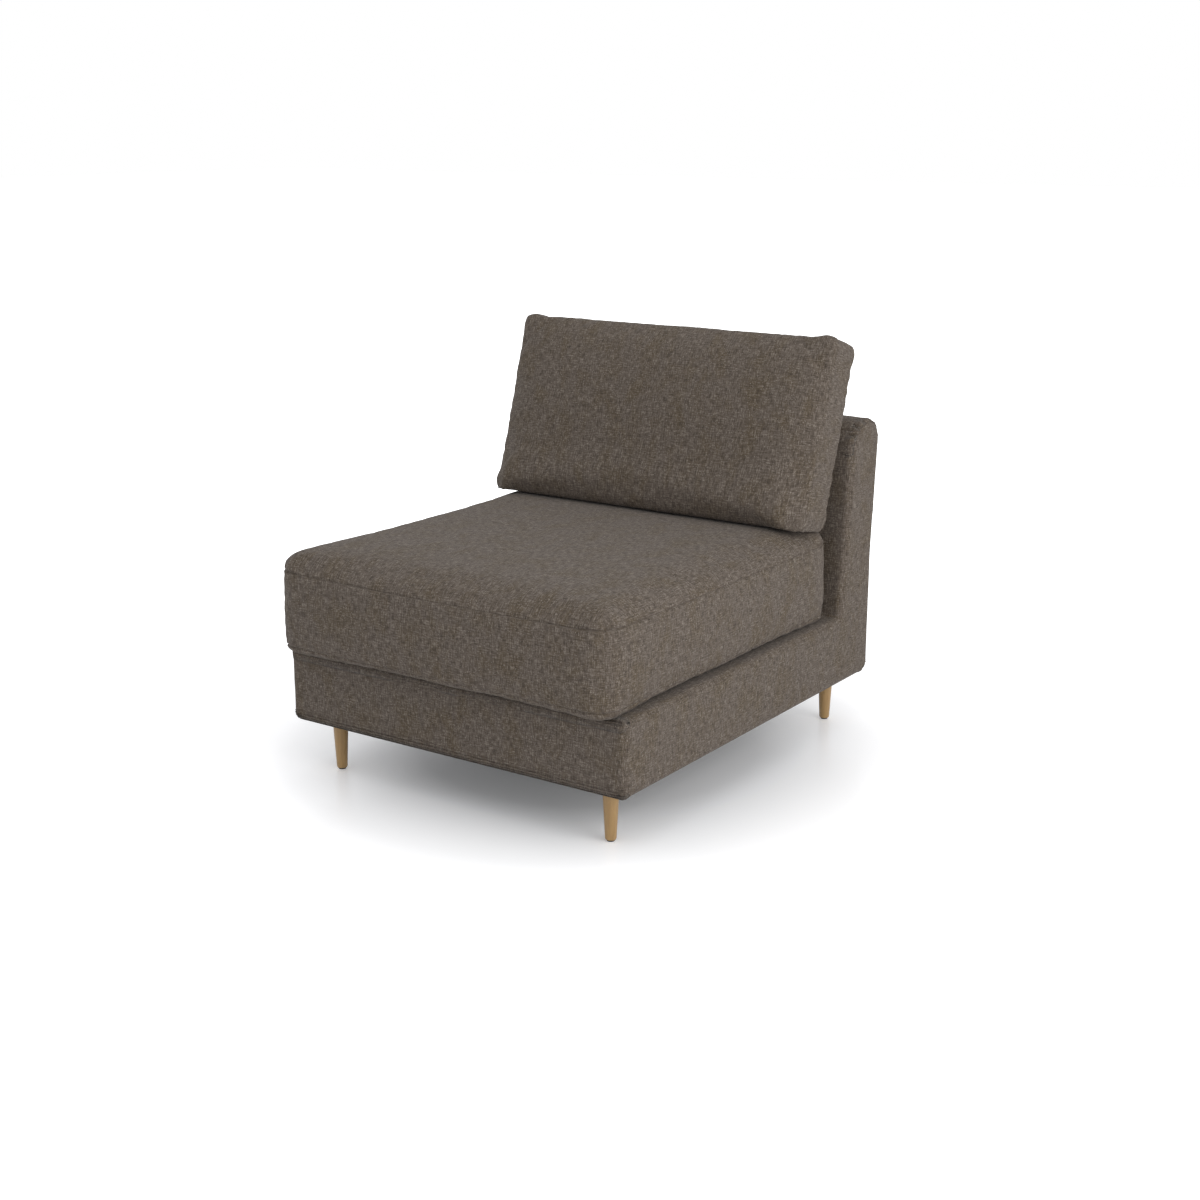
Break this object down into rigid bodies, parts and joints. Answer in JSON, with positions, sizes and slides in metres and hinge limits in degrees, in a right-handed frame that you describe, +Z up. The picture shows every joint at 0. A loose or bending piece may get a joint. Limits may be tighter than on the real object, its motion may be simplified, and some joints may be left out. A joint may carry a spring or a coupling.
{
  "type": "armless sofa",
  "caption": "Armless upholstered sofa seat with a low L-shaped body, a loose seat cushion, a loose leaning back cushion and short tapered wooden legs.",
  "frame": {"origin": "on the floor, at the middle of the overall width and depth", "axes": "+X to the sitter's left, which is the right as seen from the front, +Y from the front of the seat to the back, +Z up"},
  "size_m": [0.808, 1.0089, 0.8539],
  "materials": {
    "body_fabric": "matte woven cloth",
    "cushion_fabric": "matte woven cloth",
    "oak": "satin lacquer",
    "plywood": "unfinished",
    "fibreboard": "unfinished",
    "timber": "planed",
    "foam": "open cell foam",
    "wadding": "soft wadding",
    "felt": "needled felt",
    "webbing": "woven elastic",
    "lining": "thin non-woven",
    "steel": "zinc plated",
    "glide_plastic": "moulded",
    "zip_tape": "woven tape",
    "zip_metal": "dark plated"
  },
  "bodies": {
    "base": {"outer_cover": "body_fabric", "leg_front_left": "oak", "leg_front_right": "oak", "leg_rear_left": "oak", "leg_rear_right": "oak", "side_panel_left": "plywood", "side_panel_right": "plywood", "leg_plate_front_left": "plywood", "leg_plate_front_right": "plywood", "leg_plate_rear_left": "plywood", "leg_plate_rear_right": "plywood", "back_front_board": "fibreboard", "back_rear_board": "fibreboard", "front_rail": "timber", "seat_back_rail": "timber", "rear_rail": "timber", "centre_stretcher": "timber", "seat_batten_left": "timber", "seat_batten_right": "timber", "back_lower_rail": "timber", "back_upper_rail": "timber", "back_top_rail": "timber", "back_centre_stile": "timber", "corner_block_front_left": "timber", "corner_block_front_right": "timber", "corner_block_rear_left": "timber", "corner_block_rear_right": "timber", "deck_foam": "foam", "back_foam": "foam", "crest_foam": "foam", "front_wadding": "wadding", "rear_wadding": "wadding", "side_wadding_left": "wadding", "side_wadding_right": "wadding", "deck_felt": "felt", "webbing_long": "webbing", "webbing_cross": "webbing", "dust_cover": "lining", "webbing_staples": "steel", "bolt_nuts": "steel", "hanger_bolts": "steel", "foot_glides": "glide_plastic"},
    "seat_cushion": {"seat_cushion_cover": "cushion_fabric", "seat_cushion_wrap": "wadding", "seat_cushion_foam": "foam", "seat_zip_tape": "zip_tape"},
    "seat_slider": {"seat_zip_slider": "zip_metal"},
    "back_cushion": {"back_cushion_cover": "cushion_fabric", "back_cushion_insert": "wadding", "back_zip_tape": "zip_tape"},
    "back_slider": {"back_zip_slider": "zip_metal"}
  },
  "joints": [
    {"name": "seat_cushion_slide", "type": "slide", "parent": "base", "child": "seat_cushion", "axis": [0, -1, 0], "range_m": [0, 0.82]},
    {"name": "back_cushion_lift", "type": "slide", "parent": "base", "child": "back_cushion", "axis": [0, 0.3173, 0.9483], "range_m": [0, 0.4]},
    {"name": "seat_zip_slide", "type": "slide", "parent": "seat_cushion", "child": "seat_slider", "axis": [-1, 0, 0], "range_m": [0, 0.6]},
    {"name": "back_zip_slide", "type": "slide", "parent": "back_cushion", "child": "back_slider", "axis": [-1, 0, 0], "range_m": [0, 0.6]}
  ]
}
